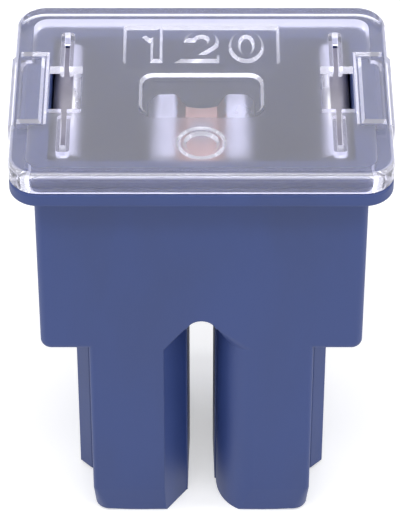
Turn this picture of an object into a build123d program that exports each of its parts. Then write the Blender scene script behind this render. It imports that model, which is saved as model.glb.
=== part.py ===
"""Automotive cartridge fuse with female terminals, all sizes in millimetres.

The frame: +Z up, X across the two legs, Y from front (-) to back (+).
The origin is on the plane of the leg ends, midway between the legs.

The housing is one moulding: two hollow legs, a body over them and a flange with a rim above it.
The clear cover snaps over the rim and latches on a lug at each side.
Inside is one folded strip of copper alloy. On each side it runs from a box receptacle in the leg,
outward along the floor, up the side wall, over a hairpin under the probe slot, down again, inward,
and up into the M-shaped fusible link, which carries a tin pellet, riveted through its middle.
"""

import os

from build123d import *

# ---------------------------------------------------------------- driving dimensions
# How far a cutting shape runs past the surface that it cuts
overcut = 1.0

# Overall
flange_width = 24.0
flange_depth = 17.2
leg_length = 15.3
body_height = 13.7

# Housing shell
flange_thickness = 0.95
flange_edge = 0.15
flange_corner = 1.9
flange_overhang = 1.5
body_corner = 0.5
body_lower_round = 0.7
body_wall = 0.9
floor_thickness = 1.1
rim_height = 0.5

# Legs
leg_span = 14.7
leg_gap = 2.0
leg_gap_waist = 1.6
arch_spring_rise = 1.6
leg_corner = 0.3
leg_tip_height = 2.2
leg_tip_corner = 1.05
leg_tip_inset = 0.12
leg_tip_edge = 0.2
left_relief_x = 1.5
left_relief_y = 2.1
right_relief_x = 2.5
right_relief_y = 3.2
relief_fade = 1.9
relief_fade_end = 0.1
relief_spare = 0.5

# Ribs on the legs' outer sides
rib_reach = 1.05
rib_thickness = 6.4
rib_chamfer = 0.8
rib_foot_rise = 0.3

# Sockets in the legs
socket_width = 3.1
socket_outer_wall = 0.9
socket_end_wall = 2.1
socket_mouth_chamfer = 0.4
socket_top_chamfer = 0.45

# Cover
cover_height = 1.6
cover_top = 0.6
cover_skirt = 1.1
cover_top_round = 0.4
cover_bottom_edge = 0.1
rim_clearance = 0.15
seat_clearance = 0.05

# Latch lugs of the housing, and the ears of the cover that snap over them, outlined by grooves
ear_length = 6.8
ear_bulge = 0.15
ear_wall = 0.55
ear_side_wall = 0.25
lug_clearance = 0.15
lug_chamfer = 0.3
lug_root_depth = 1.1
ear_groove_x = 10.0
ear_groove_width = 0.5

# Probe slots
probe_offset = 0.15
probe_end_margin = 1.5
probe_slit = 0.36
probe_gap = 0.1
probe_pocket_width = 2.1
probe_pocket_length = 4.3
collar_width = 0.85
collar_corner = 0.2
collar_depth = 0.5
collar_end_wall = 0.3
collar_setback = 2.45

# Marks in the cover's top
mark_depth = 0.2
mark_slope = 45
panel_width = 10.1
panel_length = 4.0
panel_back_margin = 1.1
panel_corner = 0.3
window_width = 7.9
window_length = 4.1
window_corner = 1.0
window_setback = 0.56
gate_radius = 1.6
gate_front_margin = 0.4
gate_ring_radius = 1.15
gate_ring_width = 0.3
digit_height = 3.3
digit_width = 2.3
digit_stroke = 0.78
digit_pitch = 2.9
digit_chamfer = 0.18
digit_flag_reach = 0.7
digit_flag_rise = 0.7
digit_head_turn = 220

# Strip
strip = 0.6
strip_side_clearance = 0.6
strip_bend = 0.6
hairpin_bend = 0.45
strip_clearance = 0.1
hairpin_pitch = 1.4
low_run_rise = 3.7
root_side_clearance = 1.5
root_rise = 1.5

# Receptacles
receptacle_width = 2.6
receptacle_clearance = 0.25
receptacle_mouth_rise = 1.2
receptacle_height = 13.2
receptacle_lip = 3.1
receptacle_bend = 0.5

# Fusible link
link_strip_width = 6.6
low_run_lap = 1.5
link_headroom = 2.8
link_dip = 0.7
lobe_outer = 3.45
lobe_inner = 1.75
link_shoulder = 1.15
link_waist_width = 5.4
link_notch_radius = 2.6
pellet_radius = 0.9
pellet_height = 0.35
pellet_round = 0.2
pellet_shank_radius = 0.6
pellet_clearance = 0.02

# Backup springs
spring = 0.25
spring_side_clearance = 1.4
spring_bow = 0.55
spring_foot = 0.9
spring_mouth_margin = 1.0

# ---------------------------------------------------------------- places that follow
flange_bottom = leg_length + body_height
flange_top = flange_bottom + flange_thickness
cover_bottom = flange_top + seat_clearance
top = cover_bottom + cover_height
cover_underside = top - cover_top
floor_top = leg_length + floor_thickness

body_width = flange_width - 2 * flange_overhang
body_depth = flange_depth - 2 * flange_overhang
inner_x = body_width / 2 - body_wall
inner_y = body_depth / 2 - body_wall
skirt_x = flange_width / 2 - cover_skirt
skirt_y = flange_depth / 2 - cover_skirt
rim_x = skirt_x - rim_clearance
rim_y = skirt_y - rim_clearance

arch_spring = leg_length + arch_spring_rise
saddle_radius = leg_gap / 2 + floor_thickness

socket_outer = leg_span / 2 - socket_outer_wall
socket_inner = socket_outer - socket_width
socket_y = body_depth / 2 - socket_end_wall

ear_outer = flange_width / 2 + ear_bulge
ear_pocket = ear_outer - ear_wall
lug_outer = ear_pocket - lug_clearance
ear_pocket_length = ear_length - 2 * ear_side_wall
lug_length = ear_pocket_length - 2 * lug_clearance

riser_x = inner_x - strip_clearance - strip / 2
plate_x = riser_x - hairpin_pitch
hairpin_top = cover_underside - collar_depth - probe_gap - strip / 2
probe_x = (riser_x + plate_x) / 2 + probe_offset
floor_run = floor_top + strip / 2
low_run = floor_top + low_run_rise
strip_width = 2 * (inner_y - strip_side_clearance)
root_width = 2 * (socket_y - root_side_clearance)
link_bend = strip / 2
lobe_x = lobe_outer - strip / 2
lobe_z = cover_underside - link_headroom - strip / 2
link_z = lobe_z - link_dip
link_top = link_z + strip / 2

contact_x = socket_outer - strip_clearance - strip / 2
lip_x = contact_x - receptacle_width + strip
receptacle_y = socket_y - receptacle_clearance - strip / 2
lip_end = receptacle_y + strip / 2 - receptacle_lip
receptacle_top = receptacle_mouth_rise + receptacle_height
lip_face = lip_x + strip / 2
spring_width = 2 * (socket_y - spring_side_clearance)
spring_bottom = receptacle_mouth_rise + spring_mouth_margin
spring_top = receptacle_top - spring_mouth_margin

sides = (-1, 1)


# ---------------------------------------------------------------- housing
def arch_face(y, gap):
    """The gap between the legs, seen from the front, as a face at one depth."""
    with BuildSketch(Plane.XZ.offset(-y)) as face:
        with Locations((0, (arch_spring - overcut) / 2)):
            Rectangle(gap, arch_spring + overcut)
        with Locations((0, arch_spring)):
            Circle(gap / 2)
    return face.sketch.face()


def relief_face(z, side, reach_x, reach_y, rounded, front):
    """The piece taken off an inner corner of a leg, in plan; only the right leg's is round."""
    corner = (side * (leg_gap_waist / 2 - relief_spare), front * (body_depth / 2 + relief_spare))
    along_x = (side * (leg_gap / 2 + reach_x), front * body_depth / 2)
    along_y = (side * leg_gap / 2, front * (body_depth / 2 - reach_y))
    with BuildSketch(Plane.XY.offset(z)) as face:
        with BuildLine():
            Polyline(along_x, (along_x[0], corner[1]), corner, (corner[0], along_y[1]), along_y)
            if rounded:
                quarter_start = 180 if front < 0 else 90
                EllipticalCenterArc(
                    (along_x[0], along_y[1]), reach_x, reach_y, quarter_start, arc_size=90
                )
            else:
                Line(along_y, along_x)
        make_face()
    return face.sketch.face()


with BuildPart() as housing:
    # Both legs as one block, a little narrower and rounder at the tips.
    with BuildSketch(Plane.XY):
        RectangleRounded(
            leg_span - 2 * leg_tip_inset, body_depth - 2 * leg_tip_inset, leg_tip_corner
        )
    with BuildSketch(Plane.XY.offset(leg_tip_height)):
        RectangleRounded(leg_span, body_depth, leg_corner)
    loft()
    chamfer(housing.faces().sort_by(Axis.Z)[0].outer_wire().edges(), leg_tip_edge)
    with BuildSketch(Plane.XY.offset(leg_tip_height)):
        RectangleRounded(leg_span, body_depth, leg_corner)
    extrude(amount=leg_length - leg_tip_height)

    # A rib on the outer side of each leg.
    for side in sides:
        root = side * (leg_span / 2 - rib_chamfer)
        tip = side * (leg_span / 2 + rib_reach)
        shoulder = side * (leg_span / 2 + rib_reach - rib_chamfer)
        half = rib_thickness / 2
        with BuildSketch(Plane.XY.offset(rib_foot_rise)):
            with BuildLine():
                Polyline(
                    (root, -half),
                    (shoulder, -half),
                    (tip, -half + rib_chamfer),
                    (tip, half - rib_chamfer),
                    (shoulder, half),
                    (root, half),
                    close=True,
                )
            make_face()
        extrude(amount=leg_length - rib_foot_rise)

    # The body, with its lower side edges rounded, and the flange and rim on it.
    with BuildSketch(Plane.XZ.offset(-body_depth / 2)):
        with BuildLine():
            FilletPolyline(
                (-body_width / 2, flange_bottom),
                (-body_width / 2, leg_length),
                (body_width / 2, leg_length),
                (body_width / 2, flange_bottom),
                radius=body_lower_round,
            )
            Line((-body_width / 2, flange_bottom), (body_width / 2, flange_bottom))
        make_face()
    extrude(amount=body_depth)
    upright = housing.edges().filter_by(Axis.Z)
    fillet(upright.group_by(Axis.X)[0] + upright.group_by(Axis.X)[-1], body_corner)
    with BuildSketch(Plane.XY.offset(flange_bottom)):
        RectangleRounded(flange_width, flange_depth, flange_corner)
    extrude(amount=flange_thickness)
    flange_levels = housing.edges(Select.LAST).group_by(Axis.Z)
    fillet(flange_levels[0] + flange_levels[-1], flange_edge)
    with BuildSketch(Plane.XY.offset(flange_top)):
        RectangleRounded(2 * rim_x, 2 * rim_y, flange_corner - cover_skirt)
    extrude(amount=rim_height)

    # Latch lugs, sloped on top so that the cover rides over them.
    for side in sides:
        lug_root = side * (rim_x - lug_root_depth)
        lug_top = cover_underside - lug_clearance
        with BuildSketch(Plane.XZ.offset(-lug_length / 2)):
            with BuildLine():
                Polyline(
                    (lug_root, flange_top),
                    (side * lug_outer, flange_top),
                    (side * lug_outer, lug_top - lug_chamfer),
                    (side * (lug_outer - lug_chamfer), lug_top),
                    (lug_root, lug_top),
                    close=True,
                )
            make_face()
        extrude(amount=lug_length)

    # The room inside, down to the floor, with a saddle over the arch left standing.
    with BuildSketch(Plane.XY.offset(floor_top)):
        Rectangle(2 * inner_x, 2 * inner_y)
    extrude(amount=top - floor_top, mode=Mode.SUBTRACT)
    with BuildSketch(Plane.XZ.offset(-inner_y)):
        with Locations((0, arch_spring)):
            Circle(saddle_radius)
        with Locations((0, (leg_length + arch_spring) / 2)):
            Rectangle(2 * saddle_radius, arch_spring - leg_length)
    extrude(amount=2 * inner_y)

    # Sockets, open at the legs' ends, flared at the mouth and where the strip bends over the floor.
    for side in sides:
        with BuildSketch(Plane.XZ.offset(-socket_y)):
            with BuildLine():
                Polyline(
                    (side * (socket_inner - socket_mouth_chamfer), -overcut),
                    (side * (socket_inner - socket_mouth_chamfer), 0),
                    (side * socket_inner, socket_mouth_chamfer),
                    (side * socket_inner, floor_top),
                    (side * (socket_outer + socket_top_chamfer), floor_top),
                    (side * socket_outer, floor_top - socket_top_chamfer),
                    (side * socket_outer, socket_mouth_chamfer),
                    (side * (socket_outer + socket_mouth_chamfer), 0),
                    (side * (socket_outer + socket_mouth_chamfer), -overcut),
                    close=True,
                )
            make_face()
        extrude(amount=2 * socket_y, mode=Mode.SUBTRACT)

    # The arched gap between the legs, narrowest in the middle of its depth.
    for front in sides:
        loft(
            [arch_face(0, leg_gap_waist), arch_face(front * body_depth / 2, leg_gap)],
            ruled=True,
            mode=Mode.SUBTRACT,
        )

    # The legs' inner corners: flat reliefs on the left leg, round ones on the right, both fading
    # out beside the arch.
    for side, reach_x, reach_y, rounded in (
        (-1, left_relief_x, left_relief_y, False),
        (1, right_relief_x, right_relief_y, True),
    ):
        for front in sides:
            lower = relief_face(-overcut, side, reach_x, reach_y, rounded, front)
            extrude(lower, amount=leg_length + overcut, dir=(0, 0, 1), mode=Mode.SUBTRACT)
            full = relief_face(leg_length, side, reach_x, reach_y, rounded, front)
            faded = relief_face(
                leg_length + relief_fade,
                side,
                relief_fade_end,
                relief_fade_end,
                rounded,
                front,
            )
            loft([full, faded], ruled=True, mode=Mode.SUBTRACT)


# ---------------------------------------------------------------- cover
def digit_one(x, y):
    """A plain numeral 1: a stem and a short flag."""
    with BuildLine(mode=Mode.PRIVATE) as line:
        Polyline(
            (x - digit_flag_reach, y + digit_flag_rise),
            (x, y + digit_height / 2 - digit_stroke / 2),
            (x, y - digit_height / 2),
        )
    trace(line.line, line_width=digit_stroke)


def digit_two(x, y):
    """A plain numeral 2: a half-round head, a slanted neck and a flat foot."""
    radius = digit_width / 2 - digit_stroke / 2
    head = y + digit_height / 2 - digit_stroke / 2 - radius
    foot = y - digit_height / 2 + digit_stroke / 2
    with BuildLine(mode=Mode.PRIVATE) as line:
        CenterArc((x, head), radius, 180, -digit_head_turn)
        Polyline(line.line @ 1, (x - radius, foot), (x + radius + digit_stroke / 2, foot))
    trace(line.line, line_width=digit_stroke)


def digit_zero(x, y):
    """A plain numeral 0: an oval ring."""
    with Locations((x, y)):
        Ellipse(digit_width / 2, digit_height / 2)
        Ellipse(
            digit_width / 2 - digit_stroke,
            digit_height / 2 - digit_stroke,
            mode=Mode.SUBTRACT,
        )


def sink():
    """Cuts the sketch just drawn into the cover's top, with sloping edges."""
    extrude(amount=-mark_depth, taper=mark_slope, mode=Mode.SUBTRACT)


def numeral(digit, x, y):
    """One numeral as a solid that stands in the panel, with its upper edges bevelled."""
    with BuildPart(mode=Mode.PRIVATE) as raised:
        with BuildSketch(Plane.XY.offset(top - mark_depth)):
            digit(x, y)
        extrude(amount=mark_depth)
        chamfer(raised.faces().sort_by(Axis.Z)[-1].edges(), digit_chamfer)
    return raised.part


with BuildPart() as cover:
    with BuildSketch(Plane.XY.offset(cover_bottom)):
        RectangleRounded(flange_width, flange_depth, flange_corner)
    extrude(amount=cover_height)
    fillet(cover.faces().sort_by(Axis.Z)[-1].edges(), cover_top_round)
    chamfer(cover.faces().sort_by(Axis.Z)[0].edges(), cover_bottom_edge)

    # Ears that stand slightly proud of the sides.
    for side in sides:
        ear_root = side * (flange_width / 2 - cover_top_round)
        with BuildSketch(Plane.XZ.offset(-ear_length / 2)):
            with BuildLine():
                Polyline(
                    (ear_root, cover_bottom),
                    (side * ear_outer, cover_bottom),
                    (side * ear_outer, top - cover_top_round),
                    (side * (ear_outer - cover_top_round), top),
                    (ear_root, top),
                    close=True,
                )
            make_face()
        extrude(amount=ear_length)

    # The room for the rim and the ears' pockets for the latch lugs.
    with BuildSketch(Plane.XY.offset(cover_bottom)):
        RectangleRounded(2 * skirt_x, 2 * skirt_y, flange_corner - cover_skirt + rim_clearance)
    extrude(amount=cover_height - cover_top, mode=Mode.SUBTRACT)
    with BuildSketch(Plane.XY.offset(cover_bottom)):
        Rectangle(2 * ear_pocket, ear_pocket_length)
    extrude(amount=cover_height - cover_top, mode=Mode.SUBTRACT)

    # Probe slots over each hairpin: two slits in line, each in a collar that guides the probe, and
    # a wider pocket between them.
    collar_outer = skirt_y - probe_end_margin
    collar_length = collar_outer - collar_setback
    for side in sides:
        for front in sides:
            with BuildSketch(Plane.XY.offset(cover_underside - collar_depth)):
                with Locations((side * probe_x, front * (collar_outer + collar_setback) / 2)):
                    RectangleRounded(collar_width, collar_length, collar_corner)
            extrude(amount=collar_depth)
        with BuildSketch(Plane.XY.offset(cover_underside - collar_depth)):
            with Locations((side * probe_x, 0)):
                Rectangle(probe_slit, 2 * (collar_outer - collar_end_wall))
                Rectangle(probe_pocket_width, probe_pocket_length)
        extrude(amount=collar_depth + cover_top, mode=Mode.SUBTRACT)

    # The polished window, the number panel, the round gate mark and the grooves round the ears,
    # sunk into the top with sloping edges, and the numerals that stand in the panel.
    panel_y = skirt_y - panel_back_margin - panel_length / 2
    gate_y = -(skirt_y - gate_front_margin - gate_radius)
    groove_end = flange_width / 2 - cover_top_round
    groove_length = groove_end - ear_groove_x
    with BuildSketch(Plane.XY.offset(top)):
        with Locations((0, -window_setback)):
            RectangleRounded(window_width, window_length, window_corner)
    sink()
    with BuildSketch(Plane.XY.offset(top)):
        with Locations((0, panel_y)):
            RectangleRounded(panel_width, panel_length, panel_corner)
    sink()
    with BuildSketch(Plane.XY.offset(top)):
        with Locations((0, gate_y)):
            Circle(gate_radius)
            Circle(gate_radius - gate_ring_width, mode=Mode.SUBTRACT)
            Circle(gate_ring_radius)
    sink()
    for side in sides:
        with BuildSketch(Plane.XY.offset(top)):
            with Locations((side * ear_groove_x, 0)):
                Rectangle(ear_groove_width, ear_length + ear_groove_width)
            for front in sides:
                with Locations((side * (ear_groove_x + groove_end) / 2, front * ear_length / 2)):
                    Rectangle(groove_length, ear_groove_width)
        sink()
    for digit, column in ((digit_one, -1), (digit_two, 0), (digit_zero, 1)):
        add(numeral(digit, column * digit_pitch, panel_y))


# ---------------------------------------------------------------- fuse element
def link_path(side):
    """The strip's middle line from the link's centre, over a lobe and down to the low run."""
    return FilletPolyline(
        (0, link_z),
        (side * link_shoulder, link_z),
        (side * lobe_inner, lobe_z),
        (side * lobe_x, lobe_z),
        (side * lobe_x, low_run),
        (side * (lobe_x + low_run_lap), low_run),
        radius=(link_bend, link_bend, strip_bend, strip_bend),
    )


def riser_path(side):
    """The strip's middle line from the low run, over the hairpin, to the foot of the riser."""
    return FilletPolyline(
        (side * (lobe_x + low_run_lap), low_run),
        (side * plate_x, low_run),
        (side * plate_x, hairpin_top),
        (side * riser_x, hairpin_top),
        (side * riser_x, floor_run + strip_bend),
        radius=(strip_bend, hairpin_bend, hairpin_bend),
    )


with BuildPart() as fuse_element:
    for side in sides:
        # The link and its lobe, and the narrower run to the hairpin and down the side wall.
        for path, width in ((link_path, link_strip_width), (riser_path, strip_width)):
            with BuildSketch(Plane.XZ.offset(-width / 2)):
                with BuildLine(mode=Mode.PRIVATE) as run:
                    path(side)
                trace(run.line, line_width=strip)
            extrude(amount=width)

        # The wider root along the floor and down into the leg.
        with BuildSketch(Plane.XZ.offset(-root_width / 2)):
            with BuildLine(mode=Mode.PRIVATE) as run:
                FilletPolyline(
                    (side * riser_x, floor_run + root_rise),
                    (side * riser_x, floor_run),
                    (side * contact_x, floor_run),
                    (side * contact_x, receptacle_top - strip),
                    radius=strip_bend,
                )
            trace(run.line, line_width=strip)
        extrude(amount=root_width)

        # The receptacle: the root's plate, folded in at both edges into a box with an open slit.
        with BuildSketch(Plane.XY.offset(receptacle_mouth_rise)):
            with BuildLine(mode=Mode.PRIVATE) as run:
                FilletPolyline(
                    (side * lip_x, lip_end),
                    (side * lip_x, receptacle_y),
                    (side * contact_x, receptacle_y),
                    (side * contact_x, -receptacle_y),
                    (side * lip_x, -receptacle_y),
                    (side * lip_x, -lip_end),
                    radius=receptacle_bend,
                )
            trace(run.line, line_width=strip)
        extrude(amount=receptacle_height)

    # The link narrows to a waist at the pellet, which sits in a hole there.
    with BuildSketch(Plane.XY.offset(link_z - strip)):
        Circle(pellet_shank_radius + pellet_clearance)
        for front in sides:
            with Locations((0, front * (link_waist_width / 2 + link_notch_radius))):
                Circle(link_notch_radius)
    extrude(amount=2 * strip + link_dip, mode=Mode.SUBTRACT)


# ---------------------------------------------------------------- tin pellet
with BuildPart() as tin_pellet:
    # A rivet: a shank through the link, between a head above and a head below.
    with BuildSketch(Plane.XY.offset(link_top - strip)):
        Circle(pellet_shank_radius)
    extrude(amount=strip)
    with BuildSketch(Plane.XY.offset(link_top)):
        Circle(pellet_radius)
    extrude(amount=pellet_height)
    with BuildSketch(Plane.XY.offset(link_top - strip)):
        Circle(pellet_radius)
    extrude(amount=-pellet_height)
    heads = tin_pellet.faces().sort_by(Axis.Z)
    fillet(heads[0].edges() + heads[-1].edges(), pellet_round)


# ---------------------------------------------------------------- backup springs
def contact_spring(side, name):
    """A bowed leaf that lies on the receptacle's lips with its two feet."""
    foot_x = side * (lip_face + spring / 2)
    bow_x = side * (lip_face + spring / 2 + spring_bow)
    middle = (spring_bottom + spring_top) / 2
    with BuildPart() as leaf:
        with BuildSketch(Plane.XZ.offset(-spring_width / 2)):
            with BuildLine(mode=Mode.PRIVATE) as run:
                lower = Line((foot_x, spring_bottom), (foot_x, spring_bottom + spring_foot))
                bow = Spline(
                    lower @ 1,
                    (bow_x, middle),
                    (foot_x, spring_top - spring_foot),
                    tangents=((0, 1), (0, 1)),
                )
                Line(bow @ 1, (foot_x, spring_top))
            trace(run.line, line_width=spring)
        extrude(amount=spring_width)
    leaf.part.label = name
    return leaf.part


# ---------------------------------------------------------------- write every piece
os.makedirs("parts", exist_ok=True)
housing.part.label = "housing"
export_step(housing.part, "parts/housing.step")
cover.part.label = "cover"
export_step(cover.part, "parts/cover.step")
fuse_element.part.label = "fuse_element"
export_step(fuse_element.part, "parts/fuse_element.step")
tin_pellet.part.label = "tin_pellet"
export_step(tin_pellet.part, "parts/tin_pellet.step")
for side, name in ((-1, "left_contact_spring"), (1, "right_contact_spring")):
    export_step(contact_spring(side, name), f"parts/{name}.step")
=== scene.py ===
"""Finishes, stage and light for the cartridge fuse, laid out as a Blender add-on and run as a script.

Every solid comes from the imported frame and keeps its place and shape.
Here each one gets its material, and the stage, the lamps and the camera are set round it.
"""

import math

import bpy
import numpy as np
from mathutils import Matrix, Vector


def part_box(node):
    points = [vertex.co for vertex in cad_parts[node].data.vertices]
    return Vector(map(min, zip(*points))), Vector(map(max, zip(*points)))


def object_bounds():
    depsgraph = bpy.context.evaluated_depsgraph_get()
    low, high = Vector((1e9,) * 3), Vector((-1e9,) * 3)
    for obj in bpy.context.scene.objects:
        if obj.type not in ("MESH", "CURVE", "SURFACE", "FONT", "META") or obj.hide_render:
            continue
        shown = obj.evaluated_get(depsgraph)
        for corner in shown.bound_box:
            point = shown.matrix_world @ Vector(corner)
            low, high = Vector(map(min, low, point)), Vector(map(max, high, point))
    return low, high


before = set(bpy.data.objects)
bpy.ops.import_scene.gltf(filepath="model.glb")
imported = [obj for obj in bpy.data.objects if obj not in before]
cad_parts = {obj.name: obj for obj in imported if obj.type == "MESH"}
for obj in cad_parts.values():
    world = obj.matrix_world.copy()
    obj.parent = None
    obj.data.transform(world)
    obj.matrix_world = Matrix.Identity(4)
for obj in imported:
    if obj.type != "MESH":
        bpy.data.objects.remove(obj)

bl_info = {
    "name": "Cartridge fuse finishes",
    "version": (1, 0, 0),
    "blender": (4, 5, 0),
    "location": "View3D > Sidebar > Fuse",
    "description": "Finishes, stage and light for a plug-in cartridge fuse",
    "category": "Object",
}

MM = 0.001
CAD_BOX = [list(corner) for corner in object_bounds()]
COVER_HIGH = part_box("cover")[1]
STRIP_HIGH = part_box("fuse_element")[1]
PELLET_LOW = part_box("tin_pellet")[0]

# The cover's clear ears, the inside of its skirt, and how near its underside counts as matt
EAR_START = 10.0 * MM
EAR_HALF_LENGTH = 3.4 * MM
SKIRT_HALF_SIZE = (10.7 * MM, 7.3 * MM, 1.0)
UNDERSIDE_REACH = 0.03 * MM
LEVEL_FACE = 0.9

# Each lamp's width and length, and its place; the side lamps stand at plus and minus X
KEY_SIZE, KEY_PLACE = (0.45, 0.06), (0.0, -0.16, 0.36)
BACK_SIZE, BACK_PLACE = (0.3, 0.12), (0.0, 0.26, 0.25)
FILL_SIZE, FILL_PLACE = (0.05, 0.25), (0.3, -0.06, 0.16)

# The point that the camera looks at lies this far to the side
CAMERA_TARGET_X = -0.09 * MM
FLOOR_GLOW = 0.45


# ---------------------------------------------------------------- settings
class FuseMouldingSettings(bpy.types.PropertyGroup):
    """The two mouldings: the blue housing and the clear cover."""

    housing_colour: bpy.props.FloatVectorProperty(
        name="Housing colour",
        description="Colour of the moulded housing",
        subtype="COLOR",
        size=3,
        default=(0.027, 0.056, 0.210),
        min=0,
        max=1,
    )
    housing_roughness: bpy.props.FloatProperty(
        name="Housing roughness",
        description="Roughness of the moulded satin surface",
        subtype="FACTOR",
        default=0.46,
        min=0,
        max=1,
    )
    grain_size: bpy.props.FloatProperty(
        name="Grain size",
        description="Width of one grain of the mould's eroded texture",
        subtype="DISTANCE",
        unit="LENGTH",
        default=0.16 * MM,
        min=0.02 * MM,
        max=2 * MM,
    )
    grain_depth: bpy.props.FloatProperty(
        name="Grain depth",
        description="Height of the mould's eroded texture",
        subtype="DISTANCE",
        unit="LENGTH",
        default=0.006 * MM,
        min=0,
        max=0.1 * MM,
    )
    edge_radius: bpy.props.FloatProperty(
        name="Edge radius",
        description="Radius by which shading softens the housing's sharp moulded edges",
        subtype="DISTANCE",
        unit="LENGTH",
        default=0.12 * MM,
        min=0,
        max=1 * MM,
    )
    cover_tint: bpy.props.FloatVectorProperty(
        name="Cover tint",
        description="Colour that the clear plastic passes",
        subtype="COLOR",
        size=3,
        default=(0.855, 0.86, 1.0),
        min=0,
        max=1,
    )
    cover_clarity: bpy.props.FloatProperty(
        name="Cover clarity",
        description="Share of the light that goes through; the rest scatters as haze",
        subtype="FACTOR",
        default=0.94,
        min=0,
        max=1,
    )
    frost_roughness: bpy.props.FloatProperty(
        name="Frost roughness",
        description="Roughness of the matt underside of the cover's top",
        subtype="FACTOR",
        default=0.3,
        min=0,
        max=1,
    )
    polish_roughness: bpy.props.FloatProperty(
        name="Polish roughness",
        description="Roughness of the cover's polished faces",
        subtype="FACTOR",
        default=0.03,
        min=0,
        max=1,
    )
    lid_thickness: bpy.props.FloatProperty(
        name="Lid thickness",
        description="Thickness of the cover's top, whose underside is matt",
        subtype="DISTANCE",
        unit="LENGTH",
        default=0.6 * MM,
        min=0.1 * MM,
        max=3 * MM,
    )
    # Painted highlight: strength of an emission that makes the cover's steep edges glow, though no
    # light comes out there.
    painted_edge_glow: bpy.props.FloatProperty(
        name="Painted edge glow",
        description="Strength of the light that the clear plastic lets out at its steep edges",
        default=0.27,
        min=0,
        max=2,
    )
    # Painted highlight: colour of the glow painted on the cover's steep edges.
    painted_edge_glow_colour: bpy.props.FloatVectorProperty(
        name="Painted edge glow colour",
        description="Colour of the light at the clear plastic's steep edges",
        subtype="COLOR",
        size=3,
        default=(0.90, 0.89, 1.0),
        min=0,
        max=1,
    )
    window_width: bpy.props.FloatProperty(
        name="Window width",
        description="Width of the polished window",
        subtype="DISTANCE",
        unit="LENGTH",
        default=7.9 * MM,
        min=1 * MM,
        max=20 * MM,
    )
    window_length: bpy.props.FloatProperty(
        name="Window length",
        description="Front-to-back length of the polished window",
        subtype="DISTANCE",
        unit="LENGTH",
        default=4.1 * MM,
        min=1 * MM,
        max=15 * MM,
    )
    window_corner: bpy.props.FloatProperty(
        name="Window corner",
        description="Corner radius of the polished window",
        subtype="DISTANCE",
        unit="LENGTH",
        default=1.0 * MM,
        min=0,
        max=2 * MM,
    )
    window_setback: bpy.props.FloatProperty(
        name="Window setback",
        description="Distance of the window's middle in front of the cover's middle",
        subtype="DISTANCE",
        unit="LENGTH",
        default=0.56 * MM,
        min=-5 * MM,
        max=5 * MM,
    )


class FuseMetalSettings(bpy.types.PropertyGroup):
    """The strip, its pellet and the backup springs."""

    plating_colour: bpy.props.FloatVectorProperty(
        name="Plating colour",
        description="Colour of the tin plating on the strip",
        subtype="COLOR",
        size=3,
        default=(0.96, 0.95, 0.98),
        min=0,
        max=1,
    )
    copper_colour: bpy.props.FloatVectorProperty(
        name="Copper colour",
        description="Colour of the bare copper alloy at the link",
        subtype="COLOR",
        size=3,
        default=(0.93, 0.60, 0.47),
        min=0,
        max=1,
    )
    # Painted reflection: the grey-mauve colour of the band on the hairpin tops, standing in for the
    # darker surroundings that they reflect.
    painted_reflection_colour: bpy.props.FloatVectorProperty(
        name="Painted reflection colour",
        description="Colour of the dulled plating where a probe touches the hairpins",
        subtype="COLOR",
        size=3,
        default=(0.38, 0.365, 0.42),
        min=0,
        max=1,
    )
    # Where the painted reflection band on the hairpin tops starts, measured from the middle.
    painted_reflection_start: bpy.props.FloatProperty(
        name="Painted reflection start",
        description="Distance from the middle at which the dulled tops of the hairpins start",
        subtype="DISTANCE",
        unit="LENGTH",
        default=8.15 * MM,
        min=0,
        max=20 * MM,
    )
    bare_half_width: bpy.props.FloatProperty(
        name="Bare half width",
        description="Half the width of the strip's bare stretch at the link",
        subtype="DISTANCE",
        unit="LENGTH",
        default=1.6 * MM,
        min=0,
        max=4 * MM,
    )
    plating_roughness: bpy.props.FloatProperty(
        name="Plating roughness",
        description="Roughness of the tin plating",
        subtype="FACTOR",
        default=0.3,
        min=0,
        max=1,
    )
    pellet_colour: bpy.props.FloatVectorProperty(
        name="Pellet colour",
        description="Colour of the tin pellet",
        subtype="COLOR",
        size=3,
        default=(0.62, 0.62, 0.64),
        min=0,
        max=1,
    )
    spring_colour: bpy.props.FloatVectorProperty(
        name="Spring colour",
        description="Colour of the stainless backup springs",
        subtype="COLOR",
        size=3,
        default=(0.58, 0.57, 0.56),
        min=0,
        max=1,
    )
    rolling_pitch: bpy.props.FloatProperty(
        name="Rolling pitch",
        description="Spacing of the fine lines that rolling leaves in sheet metal",
        subtype="DISTANCE",
        unit="LENGTH",
        default=0.07 * MM,
        min=0.01 * MM,
        max=1 * MM,
    )


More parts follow.
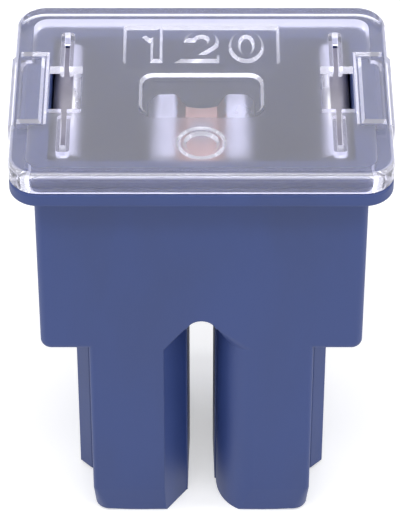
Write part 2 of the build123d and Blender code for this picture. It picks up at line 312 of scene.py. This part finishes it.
class FuseStageSettings(bpy.types.PropertyGroup):
    """Floor, lamps and camera."""

    floor_colour: bpy.props.FloatVectorProperty(
        name="Floor colour",
        description="Colour of the floor",
        subtype="COLOR",
        size=3,
        default=(0.8, 0.8, 0.8),
        min=0,
        max=1,
    )
    floor_size: bpy.props.FloatProperty(
        name="Floor size",
        description="Width of the square floor",
        subtype="DISTANCE",
        unit="LENGTH",
        default=3.0,
        min=0.1,
        max=20,
    )
    sky_strength: bpy.props.FloatProperty(
        name="Sky strength",
        description="Strength of the even light from all around",
        default=0.62,
        min=0,
        max=4,
    )
    key_power: bpy.props.FloatProperty(
        name="Key power",
        description="Power of the soft lamp above and in front",
        subtype="POWER",
        unit="POWER",
        default=0.55,
        min=0,
        max=50,
    )
    fill_power: bpy.props.FloatProperty(
        name="Fill power",
        description="Power of each side lamp",
        subtype="POWER",
        unit="POWER",
        default=0.16,
        min=0,
        max=50,
    )
    back_power: bpy.props.FloatProperty(
        name="Back power",
        description="Power of the soft lamp above and behind",
        subtype="POWER",
        unit="POWER",
        default=0.085,
        min=0,
        max=50,
    )
    camera_elevation: bpy.props.FloatProperty(
        name="Camera elevation",
        description="Height of the camera above the horizon, seen from the object",
        subtype="ANGLE",
        unit="ROTATION",
        default=math.radians(42.0),
        min=0,
        max=math.radians(89),
    )
    camera_distance: bpy.props.FloatProperty(
        name="Camera distance",
        description="Distance from the camera to the point it looks at",
        subtype="DISTANCE",
        unit="LENGTH",
        default=202.6 * MM,
        min=0.05,
        max=5,
    )
    camera_target_height: bpy.props.FloatProperty(
        name="Camera target height",
        description="Height of the point that the camera looks at",
        subtype="DISTANCE",
        unit="LENGTH",
        default=16.82 * MM,
        min=-0.1,
        max=0.1,
    )
    camera_lens: bpy.props.FloatProperty(
        name="Camera lens",
        description="Focal length on a 36 mm sensor",
        subtype="DISTANCE_CAMERA",
        default=209.7,
        min=10,
        max=400,
    )


# ---------------------------------------------------------------- nodes
def add_node(tree, kind, inputs=None, **settings):
    """Adds a node and sets its properties; an input is a plain value or another node's socket."""
    node = tree.nodes.new(kind)
    for name, value in settings.items():
        setattr(node, name, value)
    for name, value in (inputs or {}).items():
        if isinstance(value, bpy.types.NodeSocket):
            tree.links.new(value, node.inputs[name])
        else:
            node.inputs[name].default_value = value
    return node


def calculate(tree, operation, first, second=0.0, clamp=False):
    """One step of arithmetic on values, as a socket."""
    node = add_node(
        tree, "ShaderNodeMath", {0: first, 1: second}, operation=operation, use_clamp=clamp
    )
    return node.outputs[0]


def vector_step(tree, operation, first, second=(0, 0, 0)):
    """One step of arithmetic on vectors, as a socket."""
    node = add_node(tree, "ShaderNodeVectorMath", {0: first, 1: second}, operation=operation)
    return node.outputs["Value" if operation == "LENGTH" else "Vector"]


def split(tree, vector):
    """A vector's three parts, as sockets X, Y and Z."""
    return add_node(tree, "ShaderNodeSeparateXYZ", {"Vector": vector}).outputs


def fade(tree, value, low, high):
    """0 below low, 1 above high and a smooth rise between, as a socket."""
    node = add_node(
        tree,
        "ShaderNodeMapRange",
        {"Value": value, "From Min": low, "From Max": high},
        interpolation_type="SMOOTHSTEP",
    )
    return node.outputs["Result"]


def blend_colours(tree, share, first, second):
    """The first colour where share is 0 and the second where it is 1, as a socket."""
    node = add_node(
        tree, "ShaderNodeMix", {"Factor": share, "A": first, "B": second}, data_type="RGBA"
    )
    return node.outputs["Result"]


def colour(rgb):
    """An RGB triple as a full colour."""
    return (*rgb, 1.0)


def start_group(name, inputs, outputs):
    """A shader node group with named sockets, and its two end nodes."""
    tree = bpy.data.node_groups.new(name, "ShaderNodeTree")
    kinds = {"value": "NodeSocketFloat", "vector": "NodeSocketVector", "colour": "NodeSocketColor"}
    for socket_name, kind, default in inputs:
        socket = tree.interface.new_socket(socket_name, in_out="INPUT", socket_type=kinds[kind])
        if default is not None:
            socket.default_value = default
    for socket_name, kind in outputs:
        tree.interface.new_socket(socket_name, in_out="OUTPUT", socket_type=kinds[kind])
    return tree, tree.nodes.new("NodeGroupInput").outputs, tree.nodes.new("NodeGroupOutput").inputs


def place_group(tree, group, inputs):
    """Puts a shared group into a material with its own values."""
    node = add_node(tree, "ShaderNodeGroup", node_tree=group)
    for name, value in inputs.items():
        if isinstance(value, bpy.types.NodeSocket):
            tree.links.new(value, node.inputs[name])
        else:
            node.inputs[name].default_value = value
    return node.outputs


def moulded_grain_group():
    """Moulded plastic's skin: fine eroded grain, slow flow marks in the colour, and dust specks.

    Height is the eroded grain plus a slow waviness. Shade goes from 0 to 1 with the flow marks,
    and Speck is 1 on a few tiny dust specks.
    """
    tree, given, out = start_group(
        "Moulded grain",
        [("Place", "vector", None), ("Grain per metre", "value", 6000.0)],
        [("Height", "value"), ("Shade", "value"), ("Speck", "value")],
    )
    grain = add_node(
        tree,
        "ShaderNodeTexNoise",
        {"Vector": given["Place"], "Scale": given["Grain per metre"], "Detail": 3.0},
    ).outputs["Fac"]
    slow = add_node(
        tree, "ShaderNodeTexNoise", {"Vector": given["Place"], "Scale": 230.0, "Detail": 2.0}
    ).outputs["Fac"]
    tree.links.new(
        calculate(tree, "ADD", grain, calculate(tree, "MULTIPLY", slow, 1.4)), out["Height"]
    )
    stretched = vector_step(tree, "MULTIPLY", given["Place"], (1.0, 1.0, 0.35))
    flow = add_node(
        tree,
        "ShaderNodeTexNoise",
        {"Vector": stretched, "Scale": 160.0, "Detail": 4.0, "Distortion": 0.6},
    ).outputs["Fac"]
    tree.links.new(fade(tree, flow, 0.3, 0.7), out["Shade"])
    cells = add_node(tree, "ShaderNodeTexVoronoi", {"Vector": given["Place"], "Scale": 900.0})
    lucky = calculate(tree, "GREATER_THAN", cells.outputs["Color"], 0.93)
    near = calculate(tree, "LESS_THAN", cells.outputs["Distance"], 0.09)
    tree.links.new(calculate(tree, "MULTIPLY", lucky, near), out["Speck"])
    return tree


def rolled_metal_group():
    """Rolled sheet: fine lines along one direction, and clouds where the surface has dulled.

    Lines are a noise squeezed across the rolling direction. Cloud goes from 0 to 1.
    """
    tree, given, out = start_group(
        "Rolled metal",
        [
            ("Place", "vector", None),
            ("Stretch", "vector", (1.0, 1.0, 1.0)),
            ("Lines per metre", "value", 14000.0),
        ],
        [("Height", "value"), ("Cloud", "value")],
    )
    squeezed = vector_step(tree, "MULTIPLY", given["Place"], given["Stretch"])
    lines = add_node(
        tree,
        "ShaderNodeTexNoise",
        {"Vector": squeezed, "Scale": given["Lines per metre"], "Detail": 2.0},
    ).outputs["Fac"]
    cloud = add_node(
        tree, "ShaderNodeTexNoise", {"Vector": given["Place"], "Scale": 420.0, "Detail": 5.0}
    ).outputs["Fac"]
    tree.links.new(lines, out["Height"])
    tree.links.new(fade(tree, cloud, 0.35, 0.68), out["Cloud"])
    return tree


def steep_edge_group():
    """A mask of a clear moulding's steep edges, where the cover gets a painted glow.

    With n as the size of the normal's Z part, a sloped face has n between 0.1 and 0.9. Upright
    walls, where n is near 0, count only inside the given half sizes, so that outer walls stay
    clear.
    """
    tree, given, out = start_group(
        "Steep edge",
        [
            ("Place", "vector", None),
            ("Normal", "vector", None),
            ("Half size", "vector", (0.01, 0.01, 1.0)),
        ],
        [("Mask", "value")],
    )
    upright = calculate(tree, "ABSOLUTE", split(tree, given["Normal"])["Z"])
    steep = calculate(tree, "SUBTRACT", 1.0, fade(tree, upright, 0.88, 0.985))
    sloped = fade(tree, upright, 0.08, 0.3)
    beyond = vector_step(
        tree, "SUBTRACT", vector_step(tree, "ABSOLUTE", given["Place"]), given["Half size"]
    )
    parts = split(tree, beyond)
    inside = calculate(tree, "LESS_THAN", calculate(tree, "MAXIMUM", parts["X"], parts["Y"]), 0.0)
    tree.links.new(
        calculate(tree, "MULTIPLY", steep, calculate(tree, "MAXIMUM", sloped, inside)), out["Mask"]
    )
    return tree


def rounded_panel_group():
    """A mask that is 1 inside a rounded rectangle of the XY plane and 0 outside it.

    With q as the distance beyond the rectangle of half sizes less the corner radius, along each
    axis, the edge lies where the length of q's positive part equals the radius.
    """
    tree, given, out = start_group(
        "Rounded panel",
        [
            ("Place", "vector", None),
            ("Centre", "vector", (0.0, 0.0, 0.0)),
            ("Inner half size", "vector", (0.001, 0.001, 1.0)),
            ("Corner", "value", 0.001),
            ("Softness", "value", 0.0001),
        ],
        [("Mask", "value")],
    )
    offset = vector_step(tree, "SUBTRACT", given["Place"], given["Centre"])
    beyond = vector_step(
        tree, "SUBTRACT", vector_step(tree, "ABSOLUTE", offset), given["Inner half size"]
    )
    reach = vector_step(tree, "LENGTH", vector_step(tree, "MAXIMUM", beyond))
    outer = calculate(tree, "ADD", given["Corner"], given["Softness"])
    mask = calculate(tree, "SUBTRACT", 1.0, fade(tree, reach, given["Corner"], outer))
    tree.links.new(mask, out["Mask"])
    return tree


def shared_group(name, build):
    """The group of that name, built the first time that it is asked for."""
    return bpy.data.node_groups.get(name) or build()


def moulded_grain():
    return shared_group("Moulded grain", moulded_grain_group)


def rolled_metal():
    return shared_group("Rolled metal", rolled_metal_group)


def rounded_panel():
    return shared_group("Rounded panel", rounded_panel_group)


def steep_edge():
    return shared_group("Steep edge", steep_edge_group)


def start_material(name):
    """An empty material with a Principled shader, its tree, the shader and Object coordinates."""
    material = bpy.data.materials.new(name)
    material.use_nodes = True
    tree = material.node_tree
    tree.nodes.clear()
    shader = tree.nodes.new("ShaderNodeBsdfPrincipled")
    end = tree.nodes.new("ShaderNodeOutputMaterial")
    tree.links.new(shader.outputs["BSDF"], end.inputs["Surface"])
    place = tree.nodes.new("ShaderNodeTexCoord").outputs["Object"]
    return material, tree, shader, place


def bump(tree, height, depth, normal=None):
    """A normal bent by a height; depth is the height's full range in metres."""
    inputs = {"Height": height, "Distance": depth, "Strength": 1.0}
    if normal is not None:
        inputs["Normal"] = normal
    return add_node(tree, "ShaderNodeBump", inputs).outputs["Normal"]


def give(node_name, material):
    """Puts a material on a frame node in place of its plain one."""
    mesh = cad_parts[node_name].data
    mesh.materials.clear()
    mesh.materials.append(material)


# ---------------------------------------------------------------- materials
def housing_material(settings):
    """Blue moulded plastic: satin, with eroded grain, slow flow marks and softened edges."""
    material, tree, shader, place = start_material("housing_blue")
    skin = place_group(
        tree, moulded_grain(), {"Place": place, "Grain per metre": 1.0 / settings.grain_size}
    )
    base = np.array(settings.housing_colour)
    deep = colour(base * 0.93)
    pale = colour(np.minimum(base * 1.07 + 0.004, 1.0))
    flow = blend_colours(tree, skin["Shade"], deep, pale)
    dust = colour(np.minimum(base * 1.6 + 0.03, 1.0))
    tree.links.new(blend_colours(tree, skin["Speck"], flow, dust), shader.inputs["Base Color"])
    rough = settings.housing_roughness
    varied = add_node(
        tree,
        "ShaderNodeMapRange",
        {"Value": skin["Shade"], "To Min": rough - 0.05, "To Max": rough + 0.05},
    ).outputs["Result"]
    tree.links.new(varied, shader.inputs["Roughness"])
    soft_edge = add_node(
        tree, "ShaderNodeBevel", {"Radius": settings.edge_radius}, samples=4
    ).outputs["Normal"]
    tree.links.new(
        bump(tree, skin["Height"], settings.grain_depth, soft_edge), shader.inputs["Normal"]
    )
    shader.inputs["IOR"].default_value = 1.52
    return material


def cover_material(settings):
    """Clear plastic: matt under its top apart from the window and ears, with a painted glow at its
    steep edges.
    """
    material, tree, shader, place = start_material("cover_clear")
    inner = (
        settings.window_width / 2 - settings.window_corner,
        settings.window_length / 2 - settings.window_corner,
        1.0,
    )
    window = place_group(
        tree,
        rounded_panel(),
        {
            "Place": place,
            "Centre": (0.0, -settings.window_setback, 0.0),
            "Inner half size": inner,
            "Corner": settings.window_corner,
            "Softness": 0.05 * MM,
        },
    )["Mask"]
    axes = split(tree, place)
    underside = COVER_HIGH[2] - settings.lid_thickness
    below = calculate(tree, "ABSOLUTE", calculate(tree, "SUBTRACT", axes["Z"], underside))
    face = tree.nodes.new("ShaderNodeTexCoord").outputs["Normal"]
    upright = calculate(tree, "ABSOLUTE", split(tree, face)["Z"])
    level = calculate(tree, "GREATER_THAN", upright, LEVEL_FACE)
    near = calculate(tree, "LESS_THAN", below, UNDERSIDE_REACH)
    matt_face = calculate(tree, "MULTIPLY", level, near)
    ear = calculate(
        tree,
        "MULTIPLY",
        calculate(tree, "GREATER_THAN", calculate(tree, "ABSOLUTE", axes["X"]), EAR_START),
        calculate(tree, "LESS_THAN", calculate(tree, "ABSOLUTE", axes["Y"]), EAR_HALF_LENGTH),
    )
    clear = calculate(tree, "MAXIMUM", window, ear)
    frosted = calculate(tree, "MULTIPLY", matt_face, calculate(tree, "SUBTRACT", 1.0, clear))
    rough = add_node(
        tree,
        "ShaderNodeMapRange",
        {
            "Value": frosted,
            "To Min": settings.polish_roughness,
            "To Max": settings.frost_roughness,
        },
    ).outputs["Result"]
    tree.links.new(rough, shader.inputs["Roughness"])
    skin = place_group(tree, moulded_grain(), {"Place": place, "Grain per metre": 7000.0})
    tree.links.new(
        bump(tree, calculate(tree, "MULTIPLY", skin["Height"], frosted), 0.0015 * MM),
        shader.inputs["Normal"],
    )
    tint = np.array(settings.cover_tint)
    tree.links.new(
        blend_colours(tree, skin["Shade"], colour(tint * 0.97), colour(tint)),
        shader.inputs["Base Color"],
    )
    # Painted highlight: the steep edges glow through emission, standing in for the bright light that
    # clear plastic catches at its edges.
    edge = place_group(
        tree,
        steep_edge(),
        {"Place": place, "Normal": face, "Half size": SKIRT_HALF_SIZE},
    )["Mask"]
    tree.links.new(
        blend_colours(tree, edge, colour((0.0, 0.0, 0.0)), colour(settings.painted_edge_glow_colour)),
        shader.inputs["Emission Color"],
    )
    shader.inputs["Emission Strength"].default_value = settings.painted_edge_glow
    shader.inputs["IOR"].default_value = 1.5
    shader.inputs["Transmission Weight"].default_value = settings.cover_clarity
    return material


def strip_material(settings):
    """Tin-plated copper alloy, bare at the link, with rolling lines, dull clouds and a painted
    reflection band on the hairpin tops.
    """
    material, tree, shader, place = start_material("strip_plated_copper")
    skin = place_group(
        tree,
        rolled_metal(),
        {
            "Place": place,
            "Stretch": (1.0, 0.06, 1.0),
            "Lines per metre": 1.0 / settings.rolling_pitch,
        },
    )
    link_level = PELLET_LOW[2]
    axes = split(tree, place)
    aside = calculate(tree, "ABSOLUTE", axes["X"])
    edge = settings.bare_half_width
    wander = calculate(tree, "MULTIPLY", skin["Cloud"], 0.25 * MM)
    near_middle = calculate(
        tree,
        "SUBTRACT",
        1.0,
        fade(tree, calculate(tree, "ADD", aside, wander), edge, edge + 0.2 * MM),
    )
    high_up = fade(tree, axes["Z"], link_level - 2.0 * MM, link_level - 1.6 * MM)
    bare = calculate(tree, "MULTIPLY", near_middle, high_up)
    tin = np.array(settings.plating_colour)
    copper = np.array(settings.copper_colour)
    plated = blend_colours(tree, skin["Cloud"], colour(tin), colour(tin * 0.88))
    naked = blend_colours(tree, skin["Cloud"], colour(copper), colour(copper * (0.86, 0.8, 0.78)))
    # Painted reflection: a grey-mauve band on the flat tops of the hairpins stands in for the darker
    # surroundings that they reflect, and it also raises their roughness there.
    painted_reflection_band = calculate(
        tree,
        "MULTIPLY",
        fade(tree, aside, settings.painted_reflection_start, settings.painted_reflection_start + 0.15 * MM),
        fade(tree, axes["Z"], STRIP_HIGH[2] - 1.6 * MM, STRIP_HIGH[2] - 0.8 * MM),
    )
    plated_with_painted_reflection = blend_colours(tree, painted_reflection_band, plated, colour(settings.painted_reflection_colour))
    tree.links.new(blend_colours(tree, bare, plated_with_painted_reflection, naked), shader.inputs["Base Color"])
    rough = settings.plating_roughness
    varied = add_node(
        tree,
        "ShaderNodeMapRange",
        {"Value": skin["Cloud"], "To Min": rough - 0.06, "To Max": rough + 0.1},
    ).outputs["Result"]
    band_roughness = calculate(tree, "ADD", varied, calculate(tree, "MULTIPLY", painted_reflection_band, 0.3))
    tree.links.new(band_roughness, shader.inputs["Roughness"])
    tree.links.new(bump(tree, skin["Height"], 0.0015 * MM), shader.inputs["Normal"])
    shader.inputs["Metallic"].default_value = 1.0
    return material


def pellet_material(settings):
    """Dull cast tin: a frosty crystalline mottle over a soft metal grey."""
    material, tree, shader, place = start_material("pellet_tin")
    crystals = add_node(
        tree, "ShaderNodeTexVoronoi", {"Vector": place, "Scale": 4200.0}, feature="F1"
    )
    tin = np.array(settings.pellet_colour)
    grains = split(tree, crystals.outputs["Color"])["X"]
    tree.links.new(
        blend_colours(tree, grains, colour(tin * 0.85), colour(tin * 1.08)),
        shader.inputs["Base Color"],
    )
    rough = add_node(
        tree, "ShaderNodeMapRange", {"Value": grains, "To Min": 0.38, "To Max": 0.55}
    ).outputs["Result"]
    tree.links.new(rough, shader.inputs["Roughness"])
    tree.links.new(bump(tree, crystals.outputs["Distance"], 0.004 * MM), shader.inputs["Normal"])
    shader.inputs["Metallic"].default_value = 1.0
    return material


def spring_material(settings):
    """Stainless spring strip: cool grey with fine rolling lines along the leaf."""
    material, tree, shader, place = start_material("spring_stainless")
    skin = place_group(
        tree,
        rolled_metal(),
        {
            "Place": place,
            "Stretch": (1.0, 1.0, 0.05),
            "Lines per metre": 1.0 / settings.rolling_pitch,
        },
    )
    steel = np.array(settings.spring_colour)
    tree.links.new(
        blend_colours(tree, skin["Cloud"], colour(steel), colour(steel * 0.85)),
        shader.inputs["Base Color"],
    )
    rough = add_node(
        tree, "ShaderNodeMapRange", {"Value": skin["Cloud"], "To Min": 0.22, "To Max": 0.34}
    ).outputs["Result"]
    tree.links.new(rough, shader.inputs["Roughness"])
    tree.links.new(bump(tree, skin["Height"], 0.001 * MM), shader.inputs["Normal"])
    shader.inputs["Metallic"].default_value = 1.0
    return material


def seen_directly(tree):
    """1 for what the camera sees, also in mirrors and through glass, and 0 for light's own paths."""
    rays = tree.nodes.new("ShaderNodeLightPath").outputs
    other = calculate(tree, "MAXIMUM", rays["Is Glossy Ray"], rays["Is Transmission Ray"])
    return calculate(tree, "MAXIMUM", rays["Is Camera Ray"], other)


def floor_material(settings):
    """A pale matt floor that the camera, mirrors and glass see near white, with its shadow."""
    material, tree, shader, _ = start_material("floor_pale")
    shader.inputs["Base Color"].default_value = colour(settings.floor_colour)
    shader.inputs["Roughness"].default_value = 0.9
    shader.inputs["Specular IOR Level"].default_value = 0.0
    seen = seen_directly(tree)
    shader.inputs["Emission Color"].default_value = (1.0, 1.0, 1.0, 1.0)
    tree.links.new(calculate(tree, "MULTIPLY", seen, FLOOR_GLOW), shader.inputs["Emission Strength"])
    return material


# ---------------------------------------------------------------- stage
def floor_mesh(size, height):
    """A square sheet as a two-by-two grid: x and y run over plus and minus half the size."""
    side = np.linspace(-size / 2, size / 2, 2)
    across, along = np.meshgrid(side, side, indexing="ij")
    points = np.stack([across, along, np.full_like(across, height)], axis=-1).reshape(-1, 3)
    mesh = bpy.data.meshes.new("floor")
    mesh.from_pydata(points.tolist(), [], [(0, 2, 3, 1)])
    mesh.update()
    return mesh


def add_lamp(name, power, size, location, target):
    """A soft lamp of a width and a length at a place, turned towards a target."""
    lamp = bpy.data.lights.new(name, "AREA")
    lamp.shape = "RECTANGLE"
    lamp.energy = power
    lamp.size, lamp.size_y = size
    holder = bpy.data.objects.new(name, lamp)
    holder.location = location
    holder.rotation_euler = (Vector(target) - Vector(location)).to_track_quat("-Z", "Y").to_euler()
    bpy.context.scene.collection.objects.link(holder)
    return holder


def light_world(strength):
    """Even white light from all around; the camera, mirrors and glass see it as white."""
    world = bpy.data.worlds.new("studio")
    bpy.context.scene.world = world
    world.use_nodes = True
    tree = world.node_tree
    tree.nodes.clear()
    seen = seen_directly(tree)
    level = add_node(
        tree, "ShaderNodeMapRange", {"Value": seen, "To Min": strength, "To Max": 1.0}
    ).outputs["Result"]
    sky = add_node(
        tree, "ShaderNodeBackground", {"Color": (1.0, 1.0, 1.0, 1.0), "Strength": level}
    )
    end = tree.nodes.new("ShaderNodeOutputWorld")
    tree.links.new(sky.outputs["Background"], end.inputs["Surface"])


def add_camera(settings):
    """A long-lens camera in front of and above the object."""
    data = bpy.data.cameras.new("camera")
    data.lens = settings.camera_lens
    data.sensor_width = 36.0
    data.clip_start = 0.01
    camera = bpy.data.objects.new("camera", data)
    target = Vector((CAMERA_TARGET_X, 0.0, settings.camera_target_height))
    rise = settings.camera_elevation
    back = Vector((0.0, -math.cos(rise), math.sin(rise)))
    camera.location = target + back * settings.camera_distance
    camera.rotation_euler = (-back).to_track_quat("-Z", "Y").to_euler()
    bpy.context.scene.collection.objects.link(camera)
    bpy.context.scene.camera = camera


# ---------------------------------------------------------------- operators
class FUSE_OT_finish_housing(bpy.types.Operator):
    """Gives the housing its moulded blue plastic"""

    bl_idname = "fuse.finish_housing"
    bl_label = "Finish housing"

    def execute(self, context):
        give("housing", housing_material(context.scene.fuse_moulding))
        return {"FINISHED"}


class FUSE_OT_finish_cover(bpy.types.Operator):
    """Gives the cover its clear plastic, matt under its top, with a clear window and clear ears"""

    bl_idname = "fuse.finish_cover"
    bl_label = "Finish cover"

    def execute(self, context):
        give("cover", cover_material(context.scene.fuse_moulding))
        return {"FINISHED"}


class FUSE_OT_finish_strip(bpy.types.Operator):
    """Gives the folded strip its tin plating and its bare copper link"""

    bl_idname = "fuse.finish_strip"
    bl_label = "Finish strip"

    def execute(self, context):
        give("fuse_element", strip_material(context.scene.fuse_metal))
        return {"FINISHED"}


class FUSE_OT_finish_pellet(bpy.types.Operator):
    """Gives the pellet its dull cast tin"""

    bl_idname = "fuse.finish_pellet"
    bl_label = "Finish pellet"

    def execute(self, context):
        give("tin_pellet", pellet_material(context.scene.fuse_metal))
        return {"FINISHED"}


class FUSE_OT_finish_springs(bpy.types.Operator):
    """Gives both backup springs their stainless steel"""

    bl_idname = "fuse.finish_springs"
    bl_label = "Finish springs"

    def execute(self, context):
        steel = spring_material(context.scene.fuse_metal)
        for side in ("left", "right"):
            give(f"{side}_contact_spring", steel)
        return {"FINISHED"}


class FUSE_OT_build_stage(bpy.types.Operator):
    """Adds the floor, the lamps, the white surround and the camera"""

    bl_idname = "fuse.build_stage"
    bl_label = "Build stage"

    def execute(self, context):
        settings = context.scene.fuse_stage
        floor = bpy.data.objects.new("floor", floor_mesh(settings.floor_size, CAD_BOX[0][2]))
        floor.data.materials.append(floor_material(settings))
        context.scene.collection.objects.link(floor)
        middle = (0.0, 0.0, CAD_BOX[1][2] / 2)
        add_lamp("key", settings.key_power, KEY_SIZE, KEY_PLACE, middle)
        add_lamp("back", settings.back_power, BACK_SIZE, BACK_PLACE, middle)
        for side in (-1, 1):
            place = (side * FILL_PLACE[0], *FILL_PLACE[1:])
            add_lamp("fill", settings.fill_power, FILL_SIZE, place, middle)
        light_world(settings.sky_strength)
        add_camera(settings)
        context.scene.view_settings.view_transform = "Standard"
        return {"FINISHED"}


# ---------------------------------------------------------------- panel and registration
OPERATORS = (
    FUSE_OT_finish_housing,
    FUSE_OT_finish_cover,
    FUSE_OT_finish_strip,
    FUSE_OT_finish_pellet,
    FUSE_OT_finish_springs,
    FUSE_OT_build_stage,
)
SETTINGS = {
    "fuse_moulding": FuseMouldingSettings,
    "fuse_metal": FuseMetalSettings,
    "fuse_stage": FuseStageSettings,
}


class FUSE_PT_panel(bpy.types.Panel):
    """Lists the fuse's settings and operators in the sidebar"""

    bl_idname = "FUSE_PT_panel"
    bl_label = "Cartridge fuse"
    bl_space_type = "VIEW_3D"
    bl_region_type = "UI"
    bl_category = "Fuse"

    def draw(self, context):
        for name, group in SETTINGS.items():
            box = self.layout.box()
            for prop in group.__annotations__:
                box.prop(getattr(context.scene, name), prop)
        for operator in OPERATORS:
            self.layout.operator(operator.bl_idname)


def register():
    for group in (*SETTINGS.values(), *OPERATORS, FUSE_PT_panel):
        bpy.utils.register_class(group)
    for name, group in SETTINGS.items():
        setattr(bpy.types.Scene, name, bpy.props.PointerProperty(type=group))


def unregister():
    for name in SETTINGS:
        delattr(bpy.types.Scene, name)
    for group in reversed((*SETTINGS.values(), *OPERATORS, FUSE_PT_panel)):
        bpy.utils.unregister_class(group)


def main():
    """Runs every operator in order."""
    register()
    bpy.ops.fuse.finish_housing()
    bpy.ops.fuse.finish_cover()
    bpy.ops.fuse.finish_strip()
    bpy.ops.fuse.finish_pellet()
    bpy.ops.fuse.finish_springs()
    bpy.ops.fuse.build_stage()


if __name__ == "__main__":
    main()
